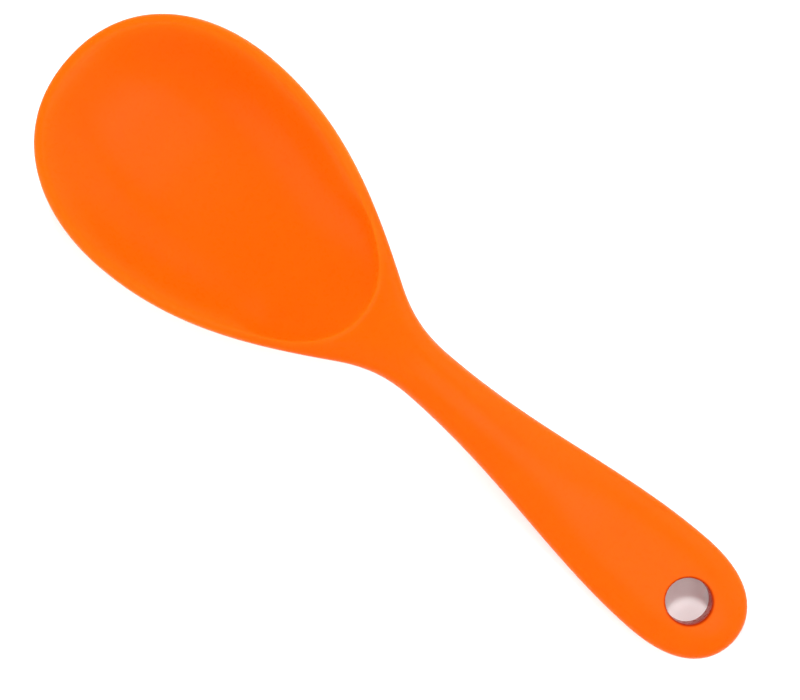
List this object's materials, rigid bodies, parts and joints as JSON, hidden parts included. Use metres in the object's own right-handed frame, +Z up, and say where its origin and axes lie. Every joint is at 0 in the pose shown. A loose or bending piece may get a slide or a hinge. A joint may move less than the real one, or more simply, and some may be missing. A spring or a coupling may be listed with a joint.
{
  "type": "serving spoon",
  "caption": "Soft spoon with an oval bowl, narrow neck and rounded handle that ends in a hanging hole, its skin moulded over a stiff keyed core.",
  "frame": {"origin": "middle of the spoon's length and width, at the level of the surface that it lies on", "axes": "+X from the bowl's tip towards the handle's end, +Y across the spoon, +Z up, out of the bowl"},
  "size_m": [0.225, 0.0686, 0.0225],
  "materials": {
    "orange_silicone": "fine satin moulded silicone, soft sheen, no grain",
    "core_nylon": "natural glass-filled nylon, matt"
  },
  "bodies": {
    "root": {"silicone_skin": "orange_silicone", "stiffening_core": "core_nylon"}
  },
  "joints": []
}
